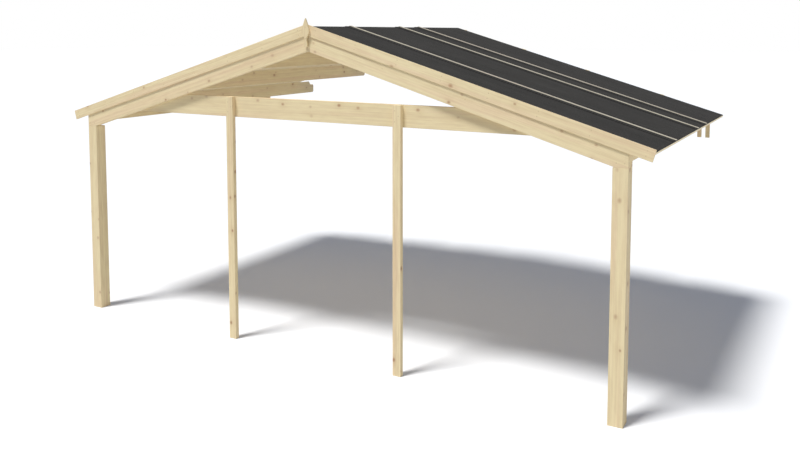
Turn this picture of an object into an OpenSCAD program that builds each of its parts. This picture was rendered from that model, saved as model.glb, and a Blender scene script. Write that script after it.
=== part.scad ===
// Patio cover: a gabled roof on two front posts that leans on a cabin wall.
// The rear ends of its purlins are notched into the wall, so it has no rear posts.
// X runs across the front, Y runs back to the wall, Z is up, all in millimetres.

/* [Overall] */
// Width over the outer faces of the corner posts
width = 5830; // [4800:10:7000]
// From the front of the posts to the face of the cabin wall
depth = 3410; // [2700:10:4000]
// Height of the corner posts
post_height = 2006; // [1700:1:2500]
// Slope of the roof in degrees
pitch = 16.6; // [13.8:0.1:20]
// How far the deck reaches past the posts at each eave
eave = 193; // [100:1:260]

/* [Posts] */
// Side of the square corner posts
post = 120; // [110:1:146]
// Width of the two studs that flank the entrance
stud_w = 80; // [60:1:110]
// From the middle of the front to the middle of each stud
stud_x = 930; // [700:1:1120]

/* [Framing] */
// Thickness of the sawn boards that make the frame
board = 44; // [36:1:54]
// Depth of the two gable rafters
rafter_h = 195; // [160:1:234]
// Length of the level seat that each rafter has on its post
seat = 101; // [80:1:108]
// Depth of the tie beam across the front
tie_h = 195; // [140:1:240]
// Plumb end left on the tie beam where the slope cuts it
tie_nose = 15; // [5:1:50]
// Depth of the purlins on their outer faces
purlin_h = 143; // [132:1:175]
// Between the middles of the ridge purlin and the upper purlins
purlin_gap = 788; // [700:1:860]
// From the posts' outer faces to the middle of the lowest purlins
purlin_in = 483; // [400:1:660]
// Depth of the eaves plates, on their inner face
plate_h = 145; // [110:1:175]

/* [Rear joints] */
// How far the deck stops short of the cabin wall
wall_gap = 238; // [60:1:300]
// Height of the tongue that each purlin lays in the wall
tongue_h = 110; // [80:1:122]
// Length of the tongue behind the wall's face
tongue_run = 80; // [60:1:160]
// Chamfer on the end of the tongue and on top of the shoulder
tongue_nose = 16; // [5:1:26]

/* [Rear forks] */
// Thickness of the forked boards that close the eaves plates
fork_t = 22; // [16:1:30]
// Width of each prong
prong_w = 42; // [30:1:55]
// Width of the slot that drops over the cabin's side log
slot_w = 40; // [28:1:60]
// How far the prongs hang below the eaves plates
prong_drop = 146; // [90:1:200]
// From the fork's rear face to the rear edge of the deck
fork_back = 72; // [40:1:110]

/* [Roof] */
// Thickness of the deck boards
deck_t = 19; // [16:1:28]
// Thickness of the roofing felt
felt_t = 4; // [2:0.5:5]
// How far a felt sheet laps forward of a batten
felt_lap = 82; // [60:1:120]
// Length over which a lapped sheet steps down to the deck
felt_step = 14; // [8:1:20]
// Width of the battens that hold the laps
batten_w = 30; // [20:1:60]
// Thickness of the battens
batten_t = 5; // [3:0.5:12]
// Front edge of the first batten, from the front of the deck
batten_1_y = 717; // [620:1:800]
// Front edge of the second batten
batten_2_y = 1698; // [1560:1:1800]
// Front edge of the third batten
batten_3_y = 2130; // [2060:1:2300]

/* [Gable trim] */
// Depth of the barge boards
barge_w = 98; // [82:1:120]
// Thickness of the barge boards
barge_t = 11; // [8:1:28]
// How far the barge boards stand above the felt
barge_up = 17; // [8:1:24]
// Height of the finial at the ridge
finial_h = 262; // [220:1:320]
// Width of the finial's head
finial_w = 84; // [70:1:110]
// Thickness of the finial
finial_t = 18; // [14:1:32]
// How far the finial rises above the underside of the ridge
finial_up = 95; // [84:1:124]

/* [Hidden] */

// Colours of the pieces
timber = "burlywood";
boarding = "wheat";
felting = "dimgray";
trim = "tan";

// Plan of the frame
half = width / 2;
rafter_y = board;
tie_y = rafter_y + board;
deck_y = depth - wall_gap;
plate_x = half - board;
tie_x = half - post;
tongue_y = depth + tongue_run;
fork_y = deck_y - fork_back;
plate_y = fork_y - fork_t;

// Air under the deck, over the packers and round the felt, so that no faces meet
lay = 0.05;

// Heights, all found from the post tops and the slope
rise = tan(pitch);
rafter_plumb = rafter_h / cos(pitch);
ridge_z = post_height + (half - seat) * rise + rafter_plumb;
tie_z = roof_z(tie_x) - tie_nose;
tie_top = tie_z + tie_h;
plate_z = roof_z(plate_x) - plate_h;
deck_run = (half + eave) / cos(pitch);
felt_low = deck_t + lay;
felt_top = felt_low + felt_t;
lap_low = felt_top + lay;
lap_top = lap_low + felt_t;
batten_low = lap_top + lay;
barge_top = felt_top + barge_up;

// The mount that holds the cover: the ridge purlin's shoulder against the wall
shoulder_top = purlin_h - tongue_nose;
hold_z = purlin_z(0) + (tongue_h + shoulder_top) / 2;

// Edges of the felt sheets
batten_y = [batten_1_y, batten_2_y, batten_3_y];
tuck = 8;
slack = 2;

// Half widths of the finial, as parts of its head's, and its heights from the foot up
waist = 0.29;
foot = 0.48;
foot_z = 0.06;
waist_z = 0.27;
head_z = 0.55;
curve_steps = 10;

// How full the finial's sides are below its point, from 1 for straight
head_curve = 1.25;

// Height of the deck's underside at a distance from the ridge
function roof_z(x) = ridge_z - x * rise;

// Height of a top that is cut to lie flat under the deck
function bevel_z(x) = roof_z(x) - lay;

// Distance of a purlin's middle from the ridge
function purlin_x(row) = row == 3 ? half - purlin_in : row * purlin_gap;

// Underside of a purlin, whose depth is that of its outer face
function purlin_z(row) = roof_z(purlin_x(row) + board / 2) - purlin_h;

// A purlin that the tie beam would meet starts behind it, the others behind the rafters
function purlin_front(row) = purlin_z(row) < tie_top + slack ? tie_y : rafter_y;

// A point down the slope by a run, and up from the deck's underside by a height
function slope_point(run, up) = [
    run * cos(pitch) + up * sin(pitch),
    ridge_z - run * sin(pitch) + up * cos(pitch)
];

// A layer of the roof seen from the front: plumb at the ridge, square at its lower end
function layer_outline(low, high) = [
    [0, ridge_z + low / cos(pitch)],
    slope_point(deck_run, low),
    slope_point(deck_run, high),
    [0, ridge_z + high / cos(pitch)]
];

// A felt sheet seen along the slope: its front edge rides on the sheet before it
function felt_profile(front, down, rear) = [
    [front, lap_low],
    [down, lap_low],
    [down + felt_step, felt_low],
    [rear, felt_low],
    [rear, felt_top],
    [down + felt_step, felt_top],
    [down, lap_top],
    [front, lap_top]
];

// A value that eases from a to b as t goes from 0 to 1
function ease(a, b, t) = a + (b - a) * (1 - cos(180 * t)) / 2;

// Half outline of the finial from the foot's point up to the head's point
function finial_side() = [
    for (i = [0 : curve_steps])
        [foot * sin(90 * i / curve_steps), foot_z * (1 - cos(90 * i / curve_steps))],
    for (i = [1 : curve_steps])
        [ease(foot, waist, i / curve_steps), foot_z + (waist_z - foot_z) * i / curve_steps],
    for (i = [1 : curve_steps])
        [ease(waist, 1, i / curve_steps), waist_z + (head_z - waist_z) * i / curve_steps],
    for (i = [1 : curve_steps])
        [1 - pow(i / curve_steps, head_curve), head_z + (1 - head_z) * i / curve_steps]
];

// Moves the frame so that the origin lies on the mount that holds it
module in_frame() {
    translate([0, -depth, -hold_z]) children();
}

module on_left() {
    mirror([1, 0, 0]) children();
}

// A block between two corners
module block(low, high) {
    translate(low) cube(high - low);
}

// An outline drawn in X and Z, run through Y
module through_y(from, to) {
    translate([0, to, 0]) rotate([90, 0, 0]) linear_extrude(to - from) children();
}

// An outline drawn in Y and Z, run through X
module through_x(from, to) {
    translate([from, 0, 0]) rotate([90, 0, 90]) linear_extrude(to - from) children();
}

module corner_post() {
    block([half - post, 0, 0], [half, post, post_height]);
}

module stud() {
    block([stud_x - stud_w / 2, 0, 0], [stud_x + stud_w / 2, board, tie_top]);
}

// A rafter with a plumb end, and a level seat on the post
module gable_rafter() {
    through_y(0, rafter_y) polygon([
        [0, ridge_z],
        [0, ridge_z - rafter_plumb],
        [half - seat, post_height],
        [half, post_height],
        [half, roof_z(half)]
    ]);
}

// A purlin seen from the front, with its top cut to lie flat under the deck
function purlin_section(row) = let (x = purlin_x(row), z = purlin_z(row)) [
    [x - board / 2, z],
    [x + board / 2, z],
    [x + board / 2, bevel_z(x + board / 2)],
    if (row == 0) [0, bevel_z(0)],
    [x - board / 2, bevel_z(abs(x - board / 2))]
];

// The same purlin from the side: its rear end keeps its lower part, as a nosed tongue
function purlin_side(row) = let (z = purlin_z(row), top = z + purlin_h + board * rise) [
    [purlin_front(row), z],
    [tongue_y - tongue_nose, z],
    [tongue_y, z + tongue_nose],
    [tongue_y, z + tongue_h - tongue_nose],
    [tongue_y - tongue_nose, z + tongue_h],
    [depth, z + tongue_h],
    [depth, z + shoulder_top],
    [depth - (top - z - shoulder_top), top],
    [purlin_front(row), top]
];

module purlin(row) {
    x = purlin_x(row);
    intersection() {
        through_y(purlin_front(row), tongue_y) polygon(purlin_section(row));
        through_x(x - board / 2, x + board / 2) polygon(purlin_side(row));
    }
}

// An eaves plate, bevelled on top to lie flat under the deck
module wall_plate() {
    through_y(rafter_y, plate_y) polygon([
        [plate_x, plate_z],
        [half, plate_z],
        [half, bevel_z(half)],
        [plate_x, bevel_z(plate_x)]
    ]);
}

module post_packer() {
    block([plate_x, rafter_y, post_height], [half, post, plate_z - lay]);
}

// A board with two prongs and an open slot between them
module rear_fork() {
    slot_x = plate_x + prong_w;
    outer_x = slot_x + slot_w + prong_w;
    prong_z = plate_z - prong_drop;
    through_y(plate_y, fork_y) polygon([
        [plate_x, prong_z],
        [slot_x, prong_z],
        [slot_x, plate_z],
        [slot_x + slot_w, plate_z],
        [slot_x + slot_w, prong_z],
        [outer_x, prong_z],
        [outer_x, bevel_z(outer_x)],
        [plate_x, bevel_z(plate_x)]
    ]);
}

module roof_deck() {
    through_y(0, deck_y) polygon(layer_outline(0, deck_t));
}

// Sheets are numbered from the front, and all but the first lap over the one before
module felt_sheet(sheet) {
    rear = sheet == 4 ? deck_y : batten_y[sheet - 1] + batten_w + tuck;
    if (sheet == 1) {
        through_y(0, rear) polygon(layer_outline(felt_low, felt_top));
    } else {
        before = batten_y[sheet - 2];
        down = before + batten_w + tuck + slack;
        difference() {
            translate([0, 0, ridge_z]) rotate([0, pitch, 0]) through_x(-lap_top, deck_run)
                polygon(felt_profile(before - felt_lap, down, rear));
            block([-2 * lap_top, 0, ridge_z - post], [0, depth, ridge_z + post]);
        }
    }
}

module batten(row) {
    y = batten_y[row - 1];
    through_y(y, y + batten_w) polygon(layer_outline(batten_low, batten_low + batten_t));
}

module barge_board() {
    through_y(-barge_t, 0) polygon(layer_outline(barge_top - barge_w, barge_top));
}

// The finial seen from the front, up its right side and down its left
module finial_outline() {
    side = finial_side();
    last = len(side) - 1;
    polygon([
        for (p = side)
            [p[0] * finial_w / 2, p[1] * finial_h],
        for (i = [last - 1 : -1 : 1])
            [-side[i][0] * finial_w / 2, side[i][1] * finial_h]
    ]);
}

module tie_beam() {
    color(timber) in_frame() through_y(rafter_y, tie_y) polygon([
        [-tie_x, tie_z],
        [tie_x, tie_z],
        [tie_x, roof_z(tie_x)],
        [(ridge_z - tie_top) / rise, tie_top],
        [-(ridge_z - tie_top) / rise, tie_top],
        [-tie_x, roof_z(tie_x)]
    ]);
}

module ridge_finial() {
    color(trim) in_frame() translate([0, 0, ridge_z + finial_up - finial_h])
        through_y(-barge_t - finial_t, -barge_t) finial_outline();
}

module ridge_purlin() {
    color(timber) in_frame() purlin(0);
}

module corner_post_left() {
    color(timber) in_frame() on_left() corner_post();
}

module corner_post_right() {
    color(timber) in_frame() corner_post();
}

module stud_left() {
    color(timber) in_frame() on_left() stud();
}

module stud_right() {
    color(timber) in_frame() stud();
}

module gable_rafter_left() {
    color(timber) in_frame() on_left() gable_rafter();
}

module gable_rafter_right() {
    color(timber) in_frame() gable_rafter();
}

module purlin_left_1() {
    color(timber) in_frame() on_left() purlin(1);
}

module purlin_left_2() {
    color(timber) in_frame() on_left() purlin(2);
}

module purlin_left_3() {
    color(timber) in_frame() on_left() purlin(3);
}

module purlin_right_1() {
    color(timber) in_frame() purlin(1);
}

module purlin_right_2() {
    color(timber) in_frame() purlin(2);
}

module purlin_right_3() {
    color(timber) in_frame() purlin(3);
}

module wall_plate_left() {
    color(timber) in_frame() on_left() wall_plate();
}

module wall_plate_right() {
    color(timber) in_frame() wall_plate();
}

module post_packer_left() {
    color(trim) in_frame() on_left() post_packer();
}

module post_packer_right() {
    color(trim) in_frame() post_packer();
}

module rear_fork_left() {
    color(trim) in_frame() on_left() rear_fork();
}

module rear_fork_right() {
    color(trim) in_frame() rear_fork();
}

module roof_deck_left() {
    color(boarding) in_frame() on_left() roof_deck();
}

module roof_deck_right() {
    color(boarding) in_frame() roof_deck();
}

module felt_left_1() {
    color(felting) in_frame() on_left() felt_sheet(1);
}

module felt_left_2() {
    color(felting) in_frame() on_left() felt_sheet(2);
}

module felt_left_3() {
    color(felting) in_frame() on_left() felt_sheet(3);
}

module felt_left_4() {
    color(felting) in_frame() on_left() felt_sheet(4);
}

module felt_right_1() {
    color(felting) in_frame() felt_sheet(1);
}

module felt_right_2() {
    color(felting) in_frame() felt_sheet(2);
}

module felt_right_3() {
    color(felting) in_frame() felt_sheet(3);
}

module felt_right_4() {
    color(felting) in_frame() felt_sheet(4);
}

module batten_left_1() {
    color(trim) in_frame() on_left() batten(1);
}

module batten_left_2() {
    color(trim) in_frame() on_left() batten(2);
}

module batten_left_3() {
    color(trim) in_frame() on_left() batten(3);
}

module batten_right_1() {
    color(trim) in_frame() batten(1);
}

module batten_right_2() {
    color(trim) in_frame() batten(2);
}

module batten_right_3() {
    color(trim) in_frame() batten(3);
}

module barge_board_left() {
    color(boarding) in_frame() on_left() barge_board();
}

module barge_board_right() {
    color(boarding) in_frame() barge_board();
}

corner_post_left();
corner_post_right();
stud_left();
stud_right();
tie_beam();
gable_rafter_left();
gable_rafter_right();
ridge_purlin();
purlin_left_1();
purlin_left_2();
purlin_left_3();
purlin_right_1();
purlin_right_2();
purlin_right_3();
wall_plate_left();
wall_plate_right();
post_packer_left();
post_packer_right();
rear_fork_left();
rear_fork_right();
roof_deck_left();
roof_deck_right();
felt_left_1();
felt_left_2();
felt_left_3();
felt_left_4();
felt_right_1();
felt_right_2();
felt_right_3();
felt_right_4();
batten_left_1();
batten_left_2();
batten_left_3();
batten_right_1();
batten_right_2();
batten_right_3();
barge_board_left();
barge_board_right();
ridge_finial();
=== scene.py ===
"""Finish, fixings, light and view for a timber patio cover with a low felt roof."""

import math
import random

import bmesh
import bpy
from bpy.props import (
    FloatProperty,
    FloatVectorProperty,
    IntProperty,
    PointerProperty,
)
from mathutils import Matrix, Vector


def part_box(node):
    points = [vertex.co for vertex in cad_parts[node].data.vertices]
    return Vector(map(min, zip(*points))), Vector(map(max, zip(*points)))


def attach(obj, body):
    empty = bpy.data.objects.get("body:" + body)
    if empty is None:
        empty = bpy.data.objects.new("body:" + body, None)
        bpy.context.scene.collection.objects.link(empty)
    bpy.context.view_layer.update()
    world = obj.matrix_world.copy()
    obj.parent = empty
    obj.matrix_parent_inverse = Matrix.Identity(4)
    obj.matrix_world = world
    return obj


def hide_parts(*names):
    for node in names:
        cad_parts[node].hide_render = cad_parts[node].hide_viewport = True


bl_info = {
    "name": "Patio cover",
    "version": (1, 0, 0),
    "blender": (4, 5, 0),
    "location": "3D View > Sidebar > Patio cover",
    "description": "Dresses the frame of a timber patio cover with boards, felt and screws",
    "category": "Object",
}

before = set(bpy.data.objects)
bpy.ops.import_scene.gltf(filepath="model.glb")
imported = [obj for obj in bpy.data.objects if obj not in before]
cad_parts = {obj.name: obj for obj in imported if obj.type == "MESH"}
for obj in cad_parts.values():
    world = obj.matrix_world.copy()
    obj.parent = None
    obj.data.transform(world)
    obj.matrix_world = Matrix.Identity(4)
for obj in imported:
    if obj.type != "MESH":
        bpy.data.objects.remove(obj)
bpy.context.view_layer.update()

# Planes that the frame already fixes, read from its own pieces
POST_LOW, POST_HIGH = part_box("corner_post_right")
STUD_LOW, STUD_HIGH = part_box("stud_right")
_, TIE_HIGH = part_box("tie_beam")
RAFTER_LOW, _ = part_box("gable_rafter_right")
BARGE_LOW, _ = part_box("barge_board_right")
FINIAL_LOW, FINIAL_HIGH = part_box("ridge_finial")
DECK_LOW, DECK_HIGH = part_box("roof_deck_right")
PLATE_LOW, PLATE_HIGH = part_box("wall_plate_right")
_, FORK_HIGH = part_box("rear_fork_right")
BATTENS = [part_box(f"batten_right_{row}") for row in (1, 2, 3)]
PURLINS = [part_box("ridge_purlin")] + [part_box(f"purlin_right_{row}") for row in (1, 2, 3)]
GROUND = POST_LOW.z


def roof_slope():
    """The slope's angle, and the heights of the deck's underside and top at the ridge."""
    points = [v.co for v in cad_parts["roof_deck_right"].data.vertices]
    ridge = [p.z for p in points if p.x < 1e-4]
    eave = min(points, key=lambda p: p.z)
    low, high = min(ridge), max(ridge)
    return math.atan((low - eave.z) / eave.x), low, high


PITCH, RIDGE, RIDGE_TOP = roof_slope()
DECK_T = (RIDGE_TOP - RIDGE) * math.cos(PITCH)
DOWN = Vector((math.cos(PITCH), 0.0, -math.sin(PITCH)))
OUT = Vector((math.sin(PITCH), 0.0, math.cos(PITCH)))
RUN = DOWN.dot(Vector((DECK_HIGH.x, 0.0, DECK_LOW.z + DECK_T * math.cos(PITCH) - RIDGE)))
X_AXIS = Vector((1.0, 0.0, 0.0))
Y_AXIS = Vector((0.0, 1.0, 0.0))
Z_AXIS = Vector((0.0, 0.0, 1.0))

# Wood
WELD = 1e-5  # corners nearer than this are one corner
FLAT = math.radians(0.5)  # faces that meet at less than this become one
SHARP = math.radians(25.0)  # edges sharper than this are eased
HEART_ASIDE = (0.03, 0.11)  # how far across the board its heart line may lie
HEART_BELOW = (0.02, 0.09)  # how far through the board it may lie
TONE = (0.05, 0.07)  # mean and spread of how much darker a whole board is
FACE_APART = 3.0  # keeps the knots on opposite faces different
SIDE_APART = 5.0  # keeps the knots on wide and narrow faces different
KNOT_CELLS = (3.4, 9.0, 1.0)  # cells per metre along and across, with at most one knot each
KNOT_SHARE = 0.44  # share of the cells that hold a knot
KNOT_RADIUS = 0.0105  # of the smallest knot
KNOT_SPREAD = 0.009  # how much larger the largest knot is
KNOT_OVAL = (0.75, 1.0, 0.0)  # makes a knot longer along the grain
KNOT_EDGE = (1.30, 0.10)  # where a knot starts and is full, in radii
HALO_EDGE = (4.0, 0.8)  # where the grain round it starts to bend and is full, in radii
KNOT_PULL = 0.006  # how far a knot bends the rings
GRAIN_DRIFT = 0.07  # how far the grain wanders
HEART_LEAN = 0.006  # how far the heart line leans in each metre
SOFT = (0.30, 0.70)  # noise where a streak starts and is full
WARM = (0.44, 0.70)  # noise where a rosy patch starts and is full

# Waves per metre along, across and through the wood, for each part of its figure
DRIFT_WAVES = (0.55, 3.0, 3.0)
STREAK_WAVES = (1.1, 62.0, 62.0)
BAND_WAVES = (0.35, 10.0, 10.0)
FLECK_WAVES = (7.0, 42.0, 42.0)
FIBRE_WAVES = (9.0, 620.0, 620.0)
WARM_WAVES = (0.7, 13.0, 13.0)
MID_NOISE = (0.5, 0.5, 0.5)

# Felt
GRANULES = 420.0  # granules per metre
CLOUD_WAVES = (2.2, 5.0, 5.0)  # waves per metre of the felt's slow patches
STRIPE_WAVES = (0.6, 14.0, 0.6)  # waves per metre of the stripes along it
FELT_STEP = 0.05  # length between rows of points from front to rear
FELT_STEPS = 44  # rows of points from ridge to eave
FOLD = 0.006  # half the width of the fold at the ridge
FOLD_DIP = 0.0004  # how far the fold's top sinks

# Screws and nails, with places from the edge or line that each group is set out from
HEAD_SIDES = 12
HEAD_RISE = 0.0004  # how far a screw or nail head stands proud
HEAD_SINK = 0.0006  # how far its rim goes into the wood
RECESS_DEPTH = 0.0014
ZINC_DULL = (0.58, 0.46, 0.27)
ZINC_BRIGHT = (0.72, 0.60, 0.38)
BARGE_ENDS = (0.10, 0.06)  # bare length at the ridge and at the eave
BARGE_SCREWS = (-0.030, 0.012)
STUD_SCREWS = ((-0.018, -0.05), (0.018, -0.095), (-0.018, -0.145))
POST_SCREWS = ((-0.032, 0.035), (0.032, 0.035))
TIE_RUNS = (2.42, 2.58, 2.74)
TIE_SCREWS = (-0.10, -0.155)
FORK_SCREWS = (0.035, 0.095)
PURLIN_SCREWS = (0.04, 0.105)
FINIAL_WAIST = 0.52  # share of the finial's height
FINIAL_SCREWS = (-0.060, 0.045)
NAIL_END = 0.05  # bare length at each end of a batten

# Stage
FLOOR_REACH = 120.0  # from the middle to each side of the floor
SUN_FALLS = (0.218, 0.401, -1.0)
FILL_FALLS = (-1.0, 0.15, -0.05)
WHITE = (1.0, 1.0, 1.0, 1.0)
SENSOR = 36.0  # width of the camera's sensor, in millimetres
VIEW_END = 500.0  # how far the camera sees


def on_slope(run, up, y, side=1):
    """The point a run down the slope from the ridge and up from the deck's underside."""
    x = run * math.cos(PITCH) + up * math.sin(PITCH)
    z = RIDGE - run * math.sin(PITCH) + up * math.cos(PITCH)
    return Vector((side * x, y, z))


# ---------------------------------------------------------------- sizes and colours


class CoverTimber(bpy.types.PropertyGroup):
    """Edges and colours of the planed spruce."""

    edge_round: FloatProperty(
        name="Edge round",
        description="Radius of the eased edges on posts, beams and purlins",
        default=0.002,
        min=0.0,
        max=0.006,
        unit="LENGTH",
    )
    trim_round: FloatProperty(
        name="Trim edge round",
        description="Radius of the eased edges on barge boards, battens and finial",
        default=0.0015,
        min=0.0,
        max=0.004,
        unit="LENGTH",
    )
    batten_round: FloatProperty(
        name="Batten edge round",
        description="Radius of the eased edges on the thin roof battens",
        default=0.001,
        min=0.0,
        max=0.002,
        unit="LENGTH",
    )
    pale: FloatVectorProperty(
        name="Pale wood",
        description="Colour of the early wood",
        subtype="COLOR",
        size=3,
        default=(0.885, 0.76, 0.485),
    )
    tan: FloatVectorProperty(
        name="Tan wood",
        description="Colour of the late wood and the streaks",
        subtype="COLOR",
        size=3,
        default=(0.70, 0.55, 0.33),
    )
    rosy: FloatVectorProperty(
        name="Rosy wood",
        description="Colour of the warmer heartwood",
        subtype="COLOR",
        size=3,
        default=(0.84, 0.61, 0.43),
    )
    knot: FloatVectorProperty(
        name="Knot",
        description="Colour of the knots",
        subtype="COLOR",
        size=3,
        default=(0.39, 0.19, 0.10),
    )
    ring_gap: FloatProperty(
        name="Ring gap",
        description="Spacing of the year rings",
        default=0.0075,
        min=0.002,
        max=0.02,
        unit="LENGTH",
    )


class CoverRoof(bpy.types.PropertyGroup):
    """Deck boards and roofing felt."""

    board_count: IntProperty(
        name="Deck boards",
        description="Number of boards from the front to the rear of the deck",
        default=33,
        min=20,
        max=50,
    )
    joint: FloatProperty(
        name="Joint",
        description="Gap between two deck boards",
        default=0.0008,
        min=0.0002,
        max=0.003,
        unit="LENGTH",
    )
    # Both deck board colours are much paler than the other spruce. This is painted light: it
    # stands in for the floor's light on the deck's underside and eave ends.
    board_pale_painted_light: FloatVectorProperty(
        name="Board pale wood",
        description="Colour of the early wood in the deck boards",
        subtype="COLOR",
        size=3,
        default=(0.97, 0.86, 0.60),
    )
    board_tan_painted_light: FloatVectorProperty(
        name="Board tan wood",
        description="Colour of the late wood in the deck boards",
        subtype="COLOR",
        size=3,
        default=(0.92, 0.80, 0.54),
    )
    batten_pale: FloatVectorProperty(
        name="Batten pale wood",
        description="Colour of the early wood in the battens",
        subtype="COLOR",
        size=3,
        default=(0.62, 0.58, 0.47),
    )
    batten_tan: FloatVectorProperty(
        name="Batten tan wood",
        description="Colour of the late wood in the battens",
        subtype="COLOR",
        size=3,
        default=(0.48, 0.44, 0.35),
    )
    groove: FloatProperty(
        name="Groove",
        description="Chamfer that makes a V between two boards on the underside",
        default=0.0035,
        min=0.001,
        max=0.006,
        unit="LENGTH",
    )
    felt: FloatVectorProperty(
        name="Felt",
        description="Colour of the felt between its granules",
        subtype="COLOR",
        size=3,
        default=(0.019, 0.0185, 0.018),
    )
    granule: FloatVectorProperty(
        name="Granule",
        description="Colour of the lighter mineral granules",
        subtype="COLOR",
        size=3,
        default=(0.055, 0.053, 0.051),
    )
    ripple: FloatProperty(
        name="Ripple",
        description="Height of the slow ripples in the felt",
        default=0.0006,
        min=0.0,
        max=0.002,
        unit="LENGTH",
    )


class CoverFixings(bpy.types.PropertyGroup):
    """Screws and nails."""

    screw_r: FloatProperty(
        name="Screw head radius",
        description="Radius of the countersunk screw heads",
        default=0.0048,
        min=0.002,
        max=0.008,
        unit="LENGTH",
    )
    nail_r: FloatProperty(
        name="Nail head radius",
        description="Radius of the nail heads in the battens",
        default=0.0035,
        min=0.002,
        max=0.006,
        unit="LENGTH",
    )
    spacing: FloatProperty(
        name="Spacing",
        description="Distance between fixings along barge boards and battens",
        default=0.45,
        min=0.1,
        max=1.0,
        unit="LENGTH",
    )
    seed: IntProperty(
        name="Seed",
        description="Seed for the turn of each head",
        default=7,
    )


class CoverStage(bpy.types.PropertyGroup):
    """Floor, light and view."""

    floor: FloatVectorProperty(
        name="Floor",
        description="Colour of the floor",
        subtype="COLOR",
        size=3,
        default=(0.90, 0.90, 0.90),
    )
    floor_dull: FloatVectorProperty(
        name="Floor as the object sees it",
        description="Colour of the floor for the light that it throws back on the wood",
        subtype="COLOR",
        size=3,
        default=(0.70, 0.70, 0.70),
    )
    glow: FloatVectorProperty(
        name="Floor glow",
        description="Cool light that the view sees on the floor, against the warmth off the wood",
        subtype="COLOR",
        size=3,
        default=(0.012, 0.036, 0.09),
    )
    sun: FloatProperty(
        name="Sun",
        description="Strength of the sun lamp",
        default=3.2,
        min=0.0,
    )
    fill: FloatProperty(
        name="Fill",
        description="Strength of the soft lamp that lights the sides from the right",
        default=0.34,
        min=0.0,
    )
    sun_size: FloatProperty(
        name="Sun size",
        description="Angle that the sun lamp fills, which softens its shadows",
        default=math.radians(13.5),
        subtype="ANGLE",
    )
    sky: FloatProperty(
        name="Sky",
        description="Strength of the even light from all round",
        default=0.19,
        min=0.0,
    )
    eye: FloatVectorProperty(
        name="Eye",
        description="Camera's place, from the middle of the front at ground level",
        subtype="TRANSLATION",
        unit="LENGTH",
        size=3,
        default=(4.4470, -6.1758, 3.0168),
    )
    turn: FloatProperty(
        name="Turn",
        description="Camera's turn to the left of straight ahead",
        default=0.51330,
        subtype="ANGLE",
    )
    tilt: FloatProperty(
        name="Tilt",
        description="Camera's tilt down from level",
        default=0.08230,
        subtype="ANGLE",
    )
    lens: FloatProperty(
        name="Lens",
        description="Focal length on a 36 mm sensor, in millimetres",
        default=37.504,
    )
    rise: FloatProperty(
        name="Shift",
        description="Vertical shift of the lens, as a share of the sensor's width",
        default=-0.155,
    )


# ---------------------------------------------------------------- shader expressions


class Wire:
    """A shader socket that takes part in Python expressions."""

    def __init__(self, finish, socket):
        self.finish = finish
        self.socket = socket

    def maths(self, operation, *others):
        sockets = dict(enumerate((self, *others)))
        return self.finish.wire("ShaderNodeMath", {"operation": operation}, sockets)

    def __add__(self, other):
        return self.maths("ADD", other)

    def __radd__(self, other):
        return self.maths("ADD", other)

    def __sub__(self, other):
        return self.maths("SUBTRACT", other)

    def __rsub__(self, other):
        return self.finish.wire("ShaderNodeMath", {"operation": "SUBTRACT"}, {0: other, 1: self})

    def __mul__(self, other):
        return self.maths("MULTIPLY", other)

    def __rmul__(self, other):
        return self.maths("MULTIPLY", other)

    def __truediv__(self, other):
        return self.maths("DIVIDE", other)

    def vector(self, operation, other, out="Vector"):
        """Vector Math of this socket and a triple, a number for Scale, or another wire."""
        key = "Scale" if operation == "SCALE" else 1
        return self.finish.wire(
            "ShaderNodeVectorMath", {"operation": operation}, {0: self, key: other}, out
        )

    def length(self):
        """The length of a vector."""
        return self.vector("LENGTH", (0, 0, 0), "Value")

    def tint(self, hue, white):
        """This colour with what is white in it turned to another hue."""
        return self.vector("MULTIPLY", [h / w for h, w in zip(hue, white)])

    def ease(self, low, high):
        """0 at low and 1 at high, with a smooth way between them."""
        return self.finish.wire(
            "ShaderNodeMapRange",
            {"interpolation_type": "SMOOTHSTEP"},
            {"Value": self, "From Min": low, "From Max": high},
            "Result",
        )

    def parts(self):
        """The three numbers of a vector."""
        node = self.finish.node("ShaderNodeSeparateXYZ", {}, {0: self})
        return [Wire(self.finish, node.outputs[axis]) for axis in "XYZ"]


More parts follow.
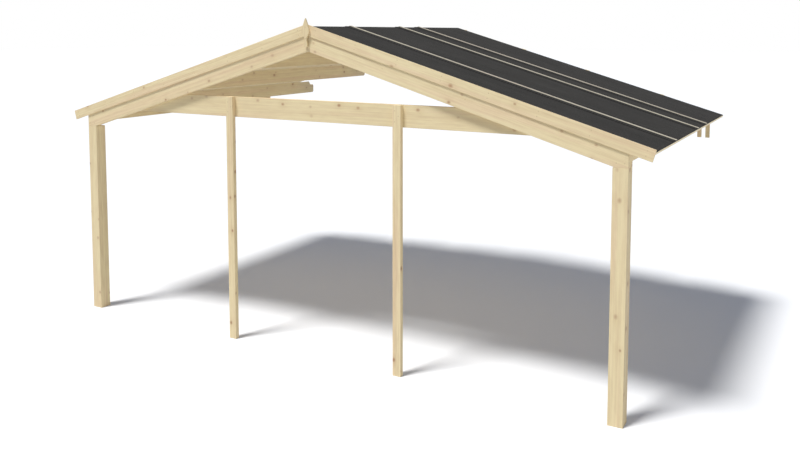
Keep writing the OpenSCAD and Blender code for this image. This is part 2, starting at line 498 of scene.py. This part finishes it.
class Finish:
    """A material under construction: its node tree, and what its expressions make."""

    def __init__(self, name):
        self.material = bpy.data.materials.new(name)
        self.material.use_nodes = True
        self.tree = self.material.node_tree
        self.tree.nodes.clear()

    def node(self, kind, settings, sockets):
        made = self.tree.nodes.new(kind)
        for key, value in settings.items():
            setattr(made, key, value)
        for key, value in sockets.items():
            if isinstance(value, Wire):
                self.tree.links.new(value.socket, made.inputs[key])
            else:
                made.inputs[key].default_value = value
        return made

    def wire(self, kind, settings, sockets, out=0):
        return Wire(self, self.node(kind, settings, sockets).outputs[out])

    def attribute(self, name, out="Vector"):
        return self.wire("ShaderNodeAttribute", {"attribute_name": name}, {}, out)

    def join(self, x, y, z):
        return self.wire("ShaderNodeCombineXYZ", {}, {0: x, 1: y, 2: z})

    def noise(self, place, stretch, detail, out="Fac"):
        """Noise with so many waves per metre along each axis."""
        return self.wire(
            "ShaderNodeTexNoise",
            {"noise_dimensions": "3D"},
            {"Vector": place.vector("MULTIPLY", stretch), "Scale": 1.0, "Detail": detail},
            out,
        )

    def mix(self, share, low, high):
        """A colour between two others."""
        colours = {
            6: low if isinstance(low, Wire) else (*low, 1.0),
            7: high if isinstance(high, Wire) else (*high, 1.0),
        }
        settings = {"data_type": "RGBA", "clamp_factor": True}
        return self.wire("ShaderNodeMix", settings, {0: share, **colours}, 2)

    def bump(self, height, distance, strength):
        sockets = {"Height": height, "Distance": distance, "Strength": strength}
        return self.wire("ShaderNodeBump", {}, sockets, "Normal")

    def surface(self, **sockets):
        """Closes the material with a Principled shader."""
        named = {key.replace("_", " "): value for key, value in sockets.items()}
        shader = self.node("ShaderNodeBsdfPrincipled", {}, named)
        self.node("ShaderNodeOutputMaterial", {}, {"Surface": Wire(self, shader.outputs[0])})
        return self.material


def spruce(name, timber, pale, tan):
    """Planed spruce: year rings round a heart line, streaks, fibres and a few soft knots."""
    f = Finish(name)
    grain = f.attribute("grain")
    face = f.attribute("face")
    tone = f.attribute("tone", "Fac")

    cells = f.node(
        "ShaderNodeTexVoronoi",
        {"voronoi_dimensions": "2D", "feature": "F1"},
        {"Vector": face.vector("MULTIPLY", KNOT_CELLS), "Scale": 1.0, "Randomness": 0.85},
    )
    centre = Wire(f, cells.outputs["Position"]).vector("DIVIDE", KNOT_CELLS)
    chance, size, strong = Wire(f, cells.outputs["Color"]).parts()
    offset = face.vector("SUBTRACT", centre).vector("MULTIPLY", KNOT_OVAL)
    radius = size * KNOT_SPREAD + KNOT_RADIUS
    reach = offset.length() / radius
    there = chance.maths("LESS_THAN", KNOT_SHARE) * (strong * 0.70 + 0.30)
    knot = reach.ease(*KNOT_EDGE) * there
    halo = reach.ease(*HALO_EDGE) * there

    drift = f.noise(grain, DRIFT_WAVES, 2.0, "Color").vector("SUBTRACT", MID_NOISE)
    along, across, depth = grain.vector("ADD", drift.vector("SCALE", GRAIN_DRIFT)).parts()
    heart = f.join(0.0, across + along * HEART_LEAN, depth)
    rings = (heart.length() + halo * KNOT_PULL) / timber.ring_gap
    wave = (rings * (2.0 * math.pi)).maths("SINE") * 0.5 + 0.5
    late = wave.maths("POWER", 2.0)
    streak = f.noise(grain, STREAK_WAVES, 3.0).ease(*SOFT)
    band = f.noise(grain, BAND_WAVES, 1.0).ease(*SOFT)
    fleck = f.noise(grain, FLECK_WAVES, 2.0).ease(*SOFT)
    fibre = f.noise(grain, FIBRE_WAVES, 1.0)
    warm = f.noise(grain, WARM_WAVES, 1.0).ease(*WARM)

    figure = late * 0.24 + streak * 0.44 + band * 0.22 + fleck * 0.26
    figure = figure + (fibre - 0.5) * 0.2 + halo * 0.26 - 0.24
    wood = f.mix(figure, pale, tan)
    wood = f.mix(warm * 0.34, wood, wood.tint(timber.rosy, timber.pale))
    wood = f.mix(knot * 0.9, wood, timber.knot)
    wood = f.mix(tone, wood, tan)
    grit = (fibre - 0.5) * 0.5 + late * 0.3 - knot * 0.4
    return f.surface(
        Base_Color=wood,
        Roughness=(fibre * 0.12 + 0.56) - knot * 0.12,
        Normal=f.bump(grit, 0.0004, 0.5),
        Specular_IOR_Level=0.35,
    )


def mineral_felt(name, roof):
    """Bitumen felt with mineral granules pressed into it."""
    f = Finish(name)
    place = f.wire("ShaderNodeTexCoord", {}, {}, "Object")
    grains = f.node(
        "ShaderNodeTexVoronoi",
        {"voronoi_dimensions": "3D", "feature": "F1"},
        {"Vector": place, "Scale": GRANULES},
    )
    shade, bright, _ = Wire(f, grains.outputs["Color"]).parts()
    dome = 1.0 - Wire(f, grains.outputs["Distance"])
    cloud = f.noise(place, CLOUD_WAVES, 3.0)
    stripe = f.noise(place, STRIPE_WAVES, 2.0)
    share = shade * 0.55 + (cloud - 0.5) * 0.5 + (stripe - 0.5) * 0.35
    share = share + bright.ease(0.9, 1.0) * 0.5
    return f.surface(
        Base_Color=f.mix(share, roof.felt, roof.granule),
        Roughness=0.97 - dome * 0.06,
        Normal=f.bump(dome, 0.0008, 0.6),
        Specular_IOR_Level=0.1,
    )


def zinc(name):
    """Yellow-passivated steel of the screw and nail heads."""
    f = Finish(name)
    place = f.wire("ShaderNodeTexCoord", {}, {}, "Object")
    cloud = f.noise(place, (300.0, 300.0, 300.0), 2.0)
    return f.surface(
        Base_Color=f.mix(cloud, ZINC_DULL, ZINC_BRIGHT),
        Metallic=1.0,
        Roughness=cloud * 0.15 + 0.42,
    )


def finish_named(name, maker, *arguments):
    """The material of that name, made the first time it is asked for."""
    found = bpy.data.materials.get(name)
    return found or maker(name, *arguments)


# ---------------------------------------------------------------- meshes


def mark_grain(mesh, along, across, depth, rng, index=None):
    """Writes the attributes that the wood reads: grain, face and tone.

    index gives each vertex the number of its board where one mesh holds several.
    """
    boards = max(index) + 1 if index else 1
    # Each board's start along the grain, its heart line's two offsets, its start among the
    # knots, and its tone
    shift = [
        (
            rng.uniform(0.0, 40.0),
            rng.choice((-1, 1)) * rng.uniform(*HEART_ASIDE),
            rng.choice((-1, 1)) * rng.uniform(*HEART_BELOW),
            rng.uniform(0.0, 50.0),
            max(0.0, rng.gauss(*TONE)),
        )
        for _ in range(boards)
    ]
    board = index or [0] * len(mesh.vertices)
    middle = Vector((0.0, 0.0, 0.0))
    for vertex in mesh.vertices:
        middle += vertex.co
    middle /= len(mesh.vertices)
    grain, tone = [], []
    for number, vertex in enumerate(mesh.vertices):
        s = shift[board[number]]
        off = vertex.co - middle
        grain += [off.dot(along) + s[0], off.dot(across) + s[1], off.dot(depth) + s[2]]
        tone.append(s[4])
    mesh.attributes.new("grain", "FLOAT_VECTOR", "POINT").data.foreach_set("vector", grain)
    mesh.attributes.new("tone", "FLOAT", "POINT").data.foreach_set("value", tone)
    face = []
    for polygon in mesh.polygons:
        sideways = abs(polygon.normal.dot(across)) > abs(polygon.normal.dot(depth))
        second = depth if sideways else across
        away = across if sideways else depth
        turn = FACE_APART if polygon.normal.dot(away) > 0 else 0.0
        for vertex in polygon.vertices:
            s = shift[board[vertex]]
            off = mesh.vertices[vertex].co - middle
            aside = SIDE_APART * sideways
            face += [off.dot(along) + s[3] + turn, off.dot(second) + s[0] + aside, 0.0]
    mesh.attributes.new("face", "FLOAT_VECTOR", "CORNER").data.foreach_set("vector", face)


def add_piece(name, mesh, material, nodes=()):
    """Puts a finished mesh in the scene as a piece that rides on the frame."""
    mesh.materials.clear()
    mesh.materials.append(material)
    piece = bpy.data.objects.new(name, mesh)
    bpy.context.scene.collection.objects.link(piece)
    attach(piece, "root")
    if nodes:
        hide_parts(*nodes)
    return piece


def evaluated(obj):
    """The plain mesh that an object's modifiers make. The object itself is removed."""
    bpy.context.view_layer.update()
    graph = bpy.context.evaluated_depsgraph_get()
    mesh = bpy.data.meshes.new_from_object(obj.evaluated_get(graph))
    bpy.data.objects.remove(obj)
    return mesh


def eased(node, radius):
    """A copy of a frame piece with its edges rounded."""
    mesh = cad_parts[node].data.copy()
    work = bmesh.new()
    work.from_mesh(mesh)
    bmesh.ops.remove_doubles(work, verts=work.verts, dist=WELD)
    bmesh.ops.dissolve_limit(work, angle_limit=FLAT, verts=work.verts, edges=work.edges)
    work.to_mesh(mesh)
    work.free()
    copy = bpy.data.objects.new(node + "_work", mesh)
    bpy.context.scene.collection.objects.link(copy)
    bevel = copy.modifiers.new("edges", "BEVEL")
    bevel.width = radius
    bevel.segments = 2
    bevel.limit_method = "ANGLE"
    bevel.angle_limit = SHARP
    bevel.harden_normals = False
    made = evaluated(copy)
    for layer in list(made.attributes):
        if not (layer.is_internal or layer.is_required):
            made.attributes.remove(layer)
    return made


def timber_pieces(groups, radius, shades=None):
    """Makes one eased and grained piece for each named frame node."""
    timber = bpy.context.scene.cover_timber
    name, pale, tan = shades or ("planed_spruce", timber.pale, timber.tan)
    wood = finish_named(name, spruce, timber, pale, tan)
    for nodes, along, across, depth in groups:
        for node in nodes:
            mesh = eased(node, radius)
            flip = -1.0 if "left" in node else 1.0
            axes = [Vector((axis.x * flip, axis.y, axis.z)) for axis in (along, across, depth)]
            mark_grain(mesh, *axes, random.Random(node))
            mesh.polygons.foreach_set("use_smooth", [False] * len(mesh.polygons))
            add_piece(node + "_wood", mesh, wood, [node])


def both(name):
    return [name + "_left", name + "_right"]


# ---------------------------------------------------------------- geometry nodes


class Tree:
    """A Geometry Nodes tree with named inputs."""

    def __init__(self, name):
        self.group = bpy.data.node_groups.new(name, "GeometryNodeTree")
        self.group.interface.new_socket(
            name="Geometry", in_out="OUTPUT", socket_type="NodeSocketGeometry"
        )
        self.inlet = self.group.nodes.new("NodeGroupInput")
        self.outlet = self.group.nodes.new("NodeGroupOutput")
        self.keys = {}

    def input(self, name, kind):
        socket = self.group.interface.new_socket(
            name=name, in_out="INPUT", socket_type="NodeSocket" + kind
        )
        self.keys[name] = socket.identifier
        return self.inlet.outputs[socket.identifier]

    def node(self, kind, settings, sockets, out=0):
        made = self.group.nodes.new(kind)
        for key, value in settings.items():
            setattr(made, key, value)
        for key, value in sockets.items():
            target = made.inputs[key]
            if isinstance(value, bpy.types.NodeSocket):
                self.group.links.new(value, target)
            else:
                target.default_value = value
        return made.outputs[out]

    def close(self, instances, material):
        """Ends the tree in Realize Instances and Set Material."""
        solid = self.node("GeometryNodeRealizeInstances", {}, {"Geometry": instances})
        dressed = self.node(
            "GeometryNodeSetMaterial", {}, {"Geometry": solid, "Material": material}
        )
        self.group.links.new(dressed, self.outlet.inputs[0])

    def run(self, name, mesh, values):
        """The mesh that the tree makes from a starting mesh and the named values."""
        obj = bpy.data.objects.new(name, mesh)
        bpy.context.scene.collection.objects.link(obj)
        modifier = obj.modifiers.new(name, "NODES")
        modifier.node_group = self.group
        for key, value in values.items():
            modifier[self.keys[key]] = value
        return evaluated(obj)


def row_tree():
    """Copies the starting mesh in a row and numbers the copies."""
    tree = Tree("row_of_boards")
    board = tree.input("Board", "Geometry")
    count = tree.input("Count", "Int")
    step = tree.input("Step", "Vector")
    material = tree.input("Material", "Material")
    line = tree.node("GeometryNodeMeshLine", {}, {"Count": count, "Offset": step})
    copies = tree.node(
        "GeometryNodeInstanceOnPoints", {}, {"Points": line, "Instance": board}
    )
    index = tree.node("GeometryNodeInputIndex", {}, {})
    numbered = tree.node(
        "GeometryNodeStoreNamedAttribute",
        {"data_type": "INT", "domain": "INSTANCE"},
        {"Geometry": copies, "Name": "board", "Value": index},
    )
    tree.close(numbered, material)
    return tree


def heads_tree():
    """Sets a head on each point of the starting mesh, turned to its facing attribute."""
    tree = Tree("heads_on_points")
    points = tree.input("Points", "Geometry")
    head = tree.input("Head", "Object")
    seed = tree.input("Seed", "Int")
    material = tree.input("Material", "Material")
    shape = tree.node("GeometryNodeObjectInfo", {}, {"Object": head}, "Geometry")
    facing = tree.node(
        "GeometryNodeInputNamedAttribute", {"data_type": "FLOAT_VECTOR"}, {"Name": "facing"}
    )
    aim = tree.node("FunctionNodeAlignRotationToVector", {"axis": "Z"}, {"Vector": facing})
    angle = tree.node(
        "FunctionNodeRandomValue",
        {"data_type": "FLOAT"},
        {"Max": 2.0 * math.pi, "Seed": seed},
        "Value",
    )
    spin = tree.node(
        "FunctionNodeAxisAngleToRotation", {}, {"Axis": (0.0, 0.0, 1.0), "Angle": angle}
    )
    turned = tree.node(
        "FunctionNodeRotateRotation",
        {"rotation_space": "LOCAL"},
        {"Rotation": aim, "Rotate By": spin},
    )
    copies = tree.node(
        "GeometryNodeInstanceOnPoints",
        {},
        {"Points": points, "Instance": shape, "Rotation": turned},
    )
    tree.close(copies, material)
    return tree


# ---------------------------------------------------------------- operators


class COVER_OT_posts(bpy.types.Operator):
    """Corner posts and the two studs beside the entrance"""

    bl_idname = "cover.posts"
    bl_label = "Posts and studs"

    def execute(self, context):
        groups = [(both("corner_post") + both("stud"), Z_AXIS, X_AXIS, Y_AXIS)]
        timber_pieces(groups, context.scene.cover_timber.edge_round)
        return {"FINISHED"}


class COVER_OT_gable(bpy.types.Operator):
    """Tie beam and gable rafters"""

    bl_idname = "cover.gable"
    bl_label = "Gable frame"

    def execute(self, context):
        groups = [
            (["tie_beam"], X_AXIS, Z_AXIS, Y_AXIS),
            (both("gable_rafter"), DOWN, OUT, Y_AXIS),
        ]
        timber_pieces(groups, context.scene.cover_timber.edge_round)
        return {"FINISHED"}


class COVER_OT_purlins(bpy.types.Operator):
    """Purlins, eaves plates, packers and rear forks"""

    bl_idname = "cover.purlins"
    bl_label = "Purlins and plates"

    def execute(self, context):
        rows = [f"purlin_{side}_{row}" for side in ("left", "right") for row in (1, 2, 3)]
        beams = ["ridge_purlin", *rows, *both("wall_plate")]
        timber = context.scene.cover_timber
        timber_pieces([(beams, Y_AXIS, Z_AXIS, X_AXIS)], timber.edge_round)
        groups = [
            (both("post_packer"), Y_AXIS, X_AXIS, Z_AXIS),
            (both("rear_fork"), Z_AXIS, X_AXIS, Y_AXIS),
        ]
        timber_pieces(groups, timber.trim_round)
        return {"FINISHED"}


class COVER_OT_deck(bpy.types.Operator):
    """Deck boards that run from ridge to eave, with V joints on the underside"""

    bl_idname = "cover.deck"
    bl_label = "Deck boards"

    def board(self, side, width, roof):
        """One board at the front of a deck half: plumb at the ridge, square at the eave."""
        gap, v = roof.joint / 2.0, roof.groove
        profile = [
            (gap + v, 0.0),
            (width - gap - v, 0.0),
            (width - gap, v),
            (width - gap, DECK_T),
            (gap, DECK_T),
            (gap, v),
        ]
        mesh = bpy.data.meshes.new("board")
        work = bmesh.new()
        ends = []
        for run in (0.0, RUN):
            ring = []
            for y, up in profile:
                back = up * math.tan(PITCH) if run == 0.0 else 0.0
                ring.append(work.verts.new(on_slope(run - back, up, DECK_LOW.y + y, side)))
            ends.append(ring)
        count = len(profile)
        for i in range(count):
            j = (i + 1) % count
            work.faces.new((ends[0][i], ends[0][j], ends[1][j], ends[1][i]))
        work.faces.new(ends[0])
        work.faces.new(list(reversed(ends[1])))
        bmesh.ops.recalc_face_normals(work, faces=work.faces)
        work.to_mesh(mesh)
        work.free()
        return mesh

    def execute(self, context):
        roof = context.scene.cover_roof
        timber = context.scene.cover_timber
        # The paler board colours are painted light on the deck's underside and eave ends, not the
        # wood's own colour.
        wood = finish_named("deck_spruce_painted_light", spruce, timber, roof.board_pale_painted_light, roof.board_tan_painted_light)
        width = (DECK_HIGH.y - DECK_LOW.y) / roof.board_count
        tree = row_tree()
        for name, side in (("left", -1), ("right", 1)):
            values = {
                "Count": roof.board_count,
                "Step": (0.0, width, 0.0),
                "Material": wood,
            }
            mesh = tree.run("deck_row_" + name, self.board(side, width, roof), values)
            index = [0] * len(mesh.vertices)
            mesh.attributes["board"].data.foreach_get("value", index)
            mesh.attributes.remove(mesh.attributes["board"])
            along = Vector((side * DOWN.x, 0.0, DOWN.z))
            out = Vector((side * OUT.x, 0.0, OUT.z))
            mark_grain(mesh, along, Y_AXIS, out, random.Random("deck" + name), index)
            add_piece("deck_boards_" + name, mesh, wood, ["roof_deck_" + name])
        return {"FINISHED"}


class COVER_OT_felt(bpy.types.Operator):
    """Roofing felt in four lapped sheets that run over the ridge from eave to eave"""

    bl_idname = "cover.felt"
    bl_label = "Roofing felt"

    def profile(self, number):
        """Places from front to rear, with the height of the sheet's underside at each."""
        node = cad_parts[f"felt_right_{number}"]
        heights = {}
        for vertex in node.data.vertices:
            up = (vertex.co - Vector((0.0, 0.0, RIDGE))).dot(OUT)
            y = round(vertex.co.y, 4)
            low, high = heights.get(y, (9.0, -9.0))
            heights[y] = (min(low, up), max(high, up))
        corners = sorted(heights.items())
        thick = min(high - low for _, (low, high) in corners)
        places = []
        for (y, (low, _)), (y_next, (low_next, _)) in zip(corners, corners[1:]):
            steps = max(1, round((y_next - y) / FELT_STEP))
            for step in range(steps):
                t = step / steps
                places.append((y + (y_next - y) * t, low + (low_next - low) * t))
        last = corners[-1]
        places.append((last[0], last[1][0]))
        return places, thick

    def runs(self):
        """Places from the left eave over the ridge to the right eave."""
        half = [FOLD] + [RUN * step / FELT_STEPS for step in range(1, FELT_STEPS + 1)]
        return [-run for run in reversed(half)] + [0.0] + half

    def sheet(self, number, ripple):
        places, thick = self.profile(number)
        runs = self.runs()
        rng = random.Random(number)
        waves = [
            (rng.uniform(2.0, 5.0), rng.uniform(4.0, 11.0), rng.uniform(0.0, 6.3))
            for _ in range(4)
        ]
        work = bmesh.new()
        layers = []
        for layer in (0, 1):
            rows = []
            for run in runs:
                side = -1 if run < 0 else 1
                crest = run == 0.0
                row = []
                for y, low in places:
                    up = low + layer * thick
                    if layer:
                        lift = sum(
                            math.sin(a * run + b * y + c) for a, b, c in waves
                        ) / len(waves)
                        up += ripple * (lift - 1.0) * 0.5
                    if crest:
                        point = Vector((0.0, y, RIDGE + up / math.cos(PITCH)))
                        point.z -= FOLD_DIP * layer
                    else:
                        point = on_slope(abs(run), up, y, side)
                    row.append(work.verts.new(point))
                rows.append(row)
            layers.append(rows)
        bottom, top = layers
        for i in range(len(runs) - 1):
            for j in range(len(places) - 1):
                for rows, turned in ((top, False), (bottom, True)):
                    quad = [rows[i][j], rows[i + 1][j], rows[i + 1][j + 1], rows[i][j + 1]]
                    work.faces.new(list(reversed(quad)) if turned else quad)
        for j in range(len(places) - 1):
            for i in (0, len(runs) - 1):
                work.faces.new((bottom[i][j], bottom[i][j + 1], top[i][j + 1], top[i][j]))
        for i in range(len(runs) - 1):
            for j in (0, len(places) - 1):
                work.faces.new((bottom[i][j], bottom[i + 1][j], top[i + 1][j], top[i][j]))
        bmesh.ops.recalc_face_normals(work, faces=work.faces)
        mesh = bpy.data.meshes.new(f"felt_{number}")
        work.to_mesh(mesh)
        work.free()
        return mesh

    def execute(self, context):
        roof = context.scene.cover_roof
        felt = finish_named("mineral_felt", mineral_felt, roof)
        for number in (1, 2, 3, 4):
            nodes = [f"felt_left_{number}", f"felt_right_{number}"]
            mesh = self.sheet(number, roof.ripple)
            add_piece(f"felt_sheet_{number}", mesh, felt, nodes)
        return {"FINISHED"}


class COVER_OT_trim(bpy.types.Operator):
    """Barge boards, finial and the battens that hold the felt"""

    bl_idname = "cover.trim"
    bl_label = "Trim"

    def execute(self, context):
        rows = [f"batten_{side}_{row}" for side in ("left", "right") for row in (1, 2, 3)]
        groups = [
            (both("barge_board"), DOWN, OUT, Y_AXIS),
            (["ridge_finial"], Z_AXIS, X_AXIS, Y_AXIS),
        ]
        timber = context.scene.cover_timber
        roof = context.scene.cover_roof
        timber_pieces(groups, timber.trim_round)
        shades = ("batten_spruce", roof.batten_pale, roof.batten_tan)
        groups = [(rows, DOWN, Y_AXIS, OUT)]
        timber_pieces(groups, timber.batten_round, shades)
        return {"FINISHED"}


class COVER_OT_fixings(bpy.types.Operator):
    """Screws in the frame and trim, and nails in the battens"""

    bl_idname = "cover.fixings"
    bl_label = "Screws and nails"

    def head(self, name, radius, recess):
        """A low domed head. A screw's has a recess."""
        work = bmesh.new()
        rings = [
            (radius, -HEAD_SINK),
            (radius, HEAD_RISE * 0.4),
            (radius * 0.8, HEAD_RISE),
        ]
        if recess:
            rings += [(radius * 0.42, HEAD_RISE), (radius * 0.34, -RECESS_DEPTH)]
        made = []
        for r, z in rings:
            ring = []
            for i in range(HEAD_SIDES):
                angle = 2 * math.pi * i / HEAD_SIDES
                ring.append(work.verts.new((r * math.cos(angle), r * math.sin(angle), z)))
            made.append(ring)
        for low, high in zip(made, made[1:]):
            for i in range(HEAD_SIDES):
                j = (i + 1) % HEAD_SIDES
                work.faces.new((low[i], low[j], high[j], high[i]))
        work.faces.new(made[-1])
        work.faces.new(list(reversed(made[0])))
        mesh = bpy.data.meshes.new(name)
        work.to_mesh(mesh)
        work.free()
        head = bpy.data.objects.new(name, mesh)
        bpy.context.scene.collection.objects.link(head)
        return head

    def screw_points(self, spacing):
        """Where the screws sit and which way they face."""
        front, back = Vector((0.0, -1.0, 0.0)), Vector((0.0, 1.0, 0.0))
        points = []
        for side in (-1, 1):
            for run in spread(BARGE_ENDS[0], RUN - BARGE_ENDS[1], spacing):
                for up in BARGE_SCREWS:
                    points.append((on_slope(run, up, BARGE_LOW.y, side), front))
            stud_x = side * (STUD_LOW.x + STUD_HIGH.x) / 2
            for dx, dz in STUD_SCREWS:
                points.append((Vector((stud_x + dx, STUD_LOW.y, TIE_HIGH.z + dz)), front))
            post_x = side * (POST_LOW.x + POST_HIGH.x) / 2
            for dx, dz in POST_SCREWS:
                points.append((Vector((post_x + dx, RAFTER_LOW.y, POST_HIGH.z + dz)), front))
            for run in TIE_RUNS:
                for up in TIE_SCREWS:
                    points.append((on_slope(run, up, TIE_HIGH.y, side), back))
            for up in FORK_SCREWS:
                x = side * (PLATE_LOW.x + PLATE_HIGH.x) / 2
                points.append((Vector((x, FORK_HIGH.y, PLATE_LOW.z + up)), back))
            for low, high in PURLINS[1:]:
                x = side * (low.x + high.x) / 2
                if low.y < TIE_HIGH.y - 0.01:
                    for dz in PURLIN_SCREWS:
                        points.append((Vector((x, RAFTER_LOW.y, low.z + dz)), front))
        waist = FINIAL_LOW.z + (FINIAL_HIGH.z - FINIAL_LOW.z) * FINIAL_WAIST
        for dz in FINIAL_SCREWS:
            points.append((Vector((0.0, FINIAL_LOW.y + HEAD_RISE, waist + dz)), front))
        return points

    def nail_points(self, spacing):
        """Nails down the middle of each batten."""
        points = []
        for side in (-1, 1):
            facing = Vector((side * OUT.x, 0.0, OUT.z))
            for low, high in BATTENS:
                for run in spread(NAIL_END, RUN - NAIL_END, spacing):
                    place = on_slope(run, self.batten_top, (low.y + high.y) / 2, side)
                    points.append((place, facing))
        return points

    def piece(self, name, head, points, context):
        fixings = context.scene.cover_fixings
        mesh = bpy.data.meshes.new(name + "_points")
        mesh.from_pydata([tuple(point) for point, _ in points], [], [])
        facing = mesh.attributes.new("facing", "FLOAT_VECTOR", "POINT")
        facing.data.foreach_set("vector", [n for _, way in points for n in way])
        steel = finish_named("zinc_steel", zinc)
        values = {"Head": head, "Seed": fixings.seed, "Material": steel}
        made = self.tree.run(name + "_run", mesh, values)
        bpy.data.objects.remove(head)
        add_piece(name, made, steel)

    def execute(self, context):
        fixings = context.scene.cover_fixings
        self.tree = heads_tree()
        self.batten_top = batten_height()
        screw = self.head("screw_head", fixings.screw_r, True)
        self.piece("screws", screw, self.screw_points(fixings.spacing), context)
        nail = self.head("nail_head", fixings.nail_r, False)
        self.piece("batten_nails", nail, self.nail_points(fixings.spacing), context)
        return {"FINISHED"}


def spread(first, last, spacing):
    """Places from first to last, about a spacing apart."""
    count = round((last - first) / spacing)
    return [first + (last - first) * i / count for i in range(count + 1)]


def batten_height():
    """Height of the battens' top face above the deck's underside."""
    points = [v.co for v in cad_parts["batten_right_1"].data.vertices]
    return max((p - Vector((0.0, 0.0, RIDGE))).dot(OUT) for p in points)


class COVER_OT_stage(bpy.types.Operator):
    """Floor, light and camera"""

    bl_idname = "cover.stage"
    bl_label = "Stage"

    def floor(self, stage):
        mesh = bpy.data.meshes.new("floor")
        far = FLOOR_REACH
        corners = [(-far, -far), (far, -far), (far, far), (-far, far)]
        mesh.from_pydata([(x, y, GROUND) for x, y in corners], [], [(0, 1, 2, 3)])
        f = Finish("floor")
        rays = f.node("ShaderNodeLightPath", {}, {})
        path = Wire(f, rays.outputs["Is Camera Ray"])
        for ray in ("Is Glossy Ray", "Is Transmission Ray"):
            path = path.maths("MAXIMUM", Wire(f, rays.outputs[ray]))
        matt = f.wire("ShaderNodeBsdfDiffuse", {}, {"Color": (*stage.floor, 1.0)})
        dull = f.wire("ShaderNodeBsdfDiffuse", {}, {"Color": (*stage.floor_dull, 1.0)})
        glow = f.wire("ShaderNodeEmission", {}, {"Color": (*stage.glow, 1.0)})
        both_lit = f.wire("ShaderNodeAddShader", {}, {0: matt, 1: glow})
        shown = f.wire("ShaderNodeMixShader", {}, {0: path, 1: dull, 2: both_lit})
        f.node("ShaderNodeOutputMaterial", {}, {"Surface": shown})
        mesh.materials.append(f.material)
        floor = bpy.data.objects.new("floor", mesh)
        bpy.context.scene.collection.objects.link(floor)

    def lamp(self, scene, name, strength, size, falling):
        data = bpy.data.lights.new(name, "SUN")
        data.energy = strength
        data.angle = size
        lamp = bpy.data.objects.new(name, data)
        scene.collection.objects.link(lamp)
        lamp.rotation_euler = Vector(falling).to_track_quat("-Z", "Y").to_euler()

    def light(self, stage, scene):
        self.lamp(scene, "sun", stage.sun, stage.sun_size, SUN_FALLS)
        self.lamp(scene, "fill", stage.fill, stage.sun_size, FILL_FALLS)
        world = bpy.data.worlds.new("sky")
        scene.world = world
        world.use_nodes = True
        tree = world.node_tree
        tree.nodes.clear()
        path = tree.nodes.new("ShaderNodeLightPath")
        sky = tree.nodes.new("ShaderNodeBackground")
        sky.inputs["Strength"].default_value = stage.sky
        white = tree.nodes.new("ShaderNodeBackground")
        white.inputs["Color"].default_value = WHITE
        sky.inputs["Color"].default_value = WHITE
        choice = tree.nodes.new("ShaderNodeMixShader")
        out = tree.nodes.new("ShaderNodeOutputWorld")
        seen = path.outputs["Is Camera Ray"]
        for ray in ("Is Glossy Ray", "Is Transmission Ray"):
            either = tree.nodes.new("ShaderNodeMath")
            either.operation = "MAXIMUM"
            tree.links.new(seen, either.inputs[0])
            tree.links.new(path.outputs[ray], either.inputs[1])
            seen = either.outputs[0]
        tree.links.new(seen, choice.inputs[0])
        tree.links.new(sky.outputs[0], choice.inputs[1])
        tree.links.new(white.outputs[0], choice.inputs[2])
        tree.links.new(choice.outputs[0], out.inputs["Surface"])

    def camera(self, stage, scene):
        data = bpy.data.cameras.new("camera")
        data.lens = stage.lens
        data.sensor_width = SENSOR
        data.shift_y = stage.rise
        data.clip_end = VIEW_END
        camera = bpy.data.objects.new("camera", data)
        scene.collection.objects.link(camera)
        camera.location = Vector((0.0, POST_LOW.y, GROUND)) + Vector(stage.eye)
        level = math.radians(90.0)
        camera.rotation_euler = (level - stage.tilt, 0.0, stage.turn)
        scene.camera = camera

    def execute(self, context):
        scene = context.scene
        stage = scene.cover_stage
        self.floor(stage)
        self.light(stage, scene)
        self.camera(stage, scene)
        scene.view_settings.view_transform = "Standard"
        return {"FINISHED"}


class COVER_PT_panel(bpy.types.Panel):
    """Sizes, colours and steps of the patio cover"""

    bl_idname = "COVER_PT_panel"
    bl_label = "Patio cover"
    bl_space_type = "VIEW_3D"
    bl_region_type = "UI"
    bl_category = "Patio cover"

    def draw(self, context):
        for operator in OPERATORS:
            self.layout.operator(operator.bl_idname)
        for name in GROUPS:
            box = self.layout.box()
            group = getattr(context.scene, name)
            for key in group.__annotations__:
                box.prop(group, key)


GROUPS = {
    "cover_timber": CoverTimber,
    "cover_roof": CoverRoof,
    "cover_fixings": CoverFixings,
    "cover_stage": CoverStage,
}
OPERATORS = (
    COVER_OT_posts,
    COVER_OT_gable,
    COVER_OT_purlins,
    COVER_OT_deck,
    COVER_OT_felt,
    COVER_OT_trim,
    COVER_OT_fixings,
    COVER_OT_stage,
)


def register():
    for name, group in GROUPS.items():
        bpy.utils.register_class(group)
        setattr(bpy.types.Scene, name, PointerProperty(type=group))
    for operator in OPERATORS:
        bpy.utils.register_class(operator)
    bpy.utils.register_class(COVER_PT_panel)


def unregister():
    bpy.utils.unregister_class(COVER_PT_panel)
    for operator in reversed(OPERATORS):
        bpy.utils.unregister_class(operator)
    for name, group in reversed(GROUPS.items()):
        delattr(bpy.types.Scene, name)
        bpy.utils.unregister_class(group)


def main():
    register()
    for operator in OPERATORS:
        getattr(bpy.ops.cover, operator.bl_idname.split(".")[1])()


if __name__ == "__main__":
    main()
